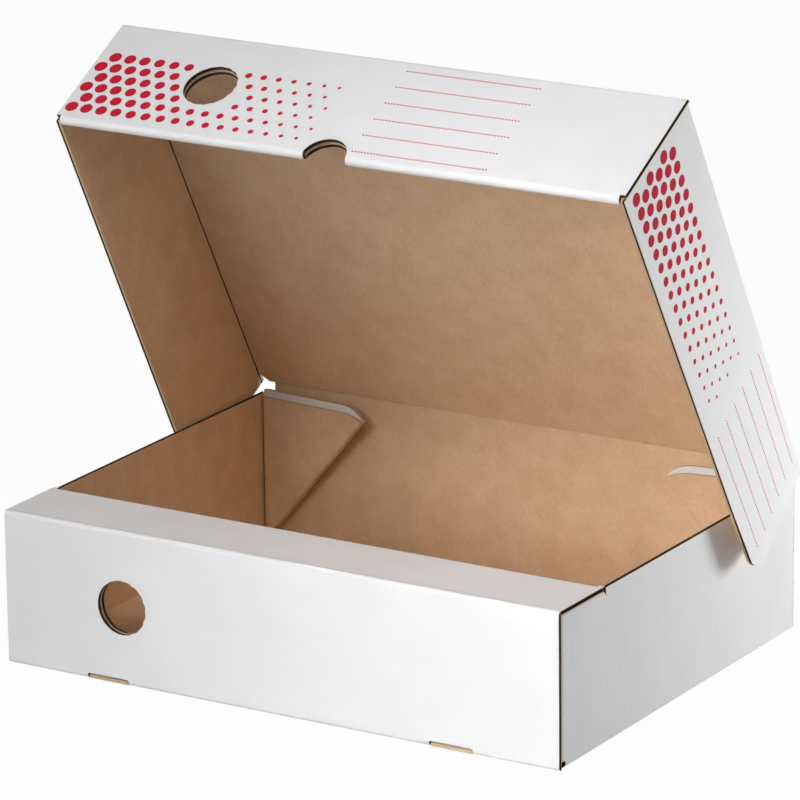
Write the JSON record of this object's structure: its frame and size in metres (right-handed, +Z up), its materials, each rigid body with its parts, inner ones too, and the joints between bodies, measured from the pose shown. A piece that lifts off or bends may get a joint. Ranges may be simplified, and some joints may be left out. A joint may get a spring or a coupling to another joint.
{
  "type": "archive box",
  "caption": "Folded board box for papers: shallow tray with a rail along its front, corner webs and a hinged lid with a rolled front edge, finger holes and a thumb notch.",
  "frame": {"origin": "centre of the tray's underside", "axes": "+X along the lid's hinge, to the right seen from the front; +Y to the back; +Z up"},
  "size_m": [0.3648, 0.2633, 0.3305],
  "materials": {
    "white_board": "matt",
    "kraft_board": "matt"
  },
  "bodies": {
    "base": {"bottom_panel": "white_board", "front_wall": "white_board", "front_rail_top": "white_board", "front_rail_under": "white_board", "front_wall_liner": "white_board", "left_wall": "white_board", "right_wall": "white_board", "left_front_ear": "kraft_board", "right_front_ear": "kraft_board", "left_dust_flap": "kraft_board", "right_dust_flap": "kraft_board", "back_wall": "white_board"},
    "left_web": {"left_web_front_leaf": "kraft_board", "left_web_rear_leaf": "white_board"},
    "right_web": {"right_web_front_leaf": "kraft_board", "right_web_rear_leaf": "white_board"},
    "lid": {"lid_top": "white_board", "lid_front_flap": "white_board", "lid_front_liner": "white_board", "lid_left_flap": "white_board", "lid_right_flap": "white_board", "lid_left_ear": "kraft_board", "lid_right_ear": "kraft_board"}
  },
  "joints": [
    {"name": "lid_hinge", "type": "hinge", "parent": "base", "child": "lid", "pos_m": [0, 0.1302, 0.0925], "axis": [-1, 0, 0], "range_deg": [-61.9, 118.8]},
    {"name": "left_web_swing", "type": "hinge", "parent": "base", "child": "left_web", "pos_m": [-0.168, 0.126, 0], "axis": [0, 0, -1], "range_deg": [-4.5, 85.5]},
    {"name": "right_web_swing", "type": "hinge", "parent": "base", "child": "right_web", "pos_m": [0.168, 0.126, 0], "axis": [0, 0, 1], "range_deg": [-9, 81]}
  ]
}
